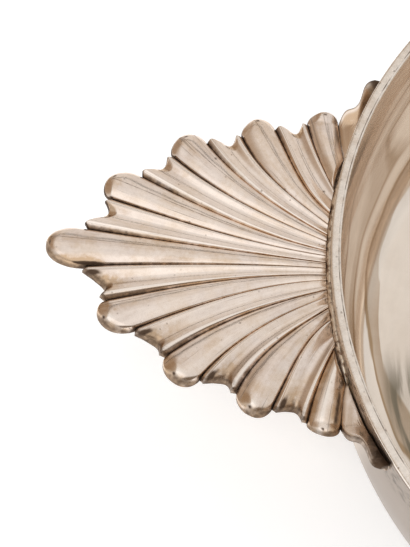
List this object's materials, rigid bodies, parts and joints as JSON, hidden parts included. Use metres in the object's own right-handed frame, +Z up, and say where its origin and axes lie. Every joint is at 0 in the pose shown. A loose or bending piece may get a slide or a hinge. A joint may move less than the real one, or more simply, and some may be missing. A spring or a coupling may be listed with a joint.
{
  "type": "two-eared silver bowl",
  "caption": "Low round silver bowl with a wire rim and two fan-shaped cast ears with lobes and flutes, soldered just below the rim.",
  "frame": {"origin": "centre of the bowl's resting plane, on the bowl's axis", "axes": "+Z up along the bowl's axis; the two ears run out along -X and +X"},
  "size_m": [0.2808, 0.17, 0.0494],
  "materials": {
    "raised_silver": "aged hand-raised silver, polished and lightly tarnished, with fine rubbing marks and small pits",
    "rim_silver": "worn bright silver wire with a slightly grainy surface",
    "cast_silver": "cast and chased silver, soft polish on the lobes, dark tarnish in the grooves and a few casting pits",
    "solder": "dull beige silver solder with dark tarnish along its edges"
  },
  "bodies": {
    "root": {"bowl": "raised_silver", "rim_wire": "rim_silver", "ear_left": "cast_silver", "ear_right": "cast_silver", "solder_seam_left": "solder", "solder_seam_right": "solder"}
  },
  "joints": []
}
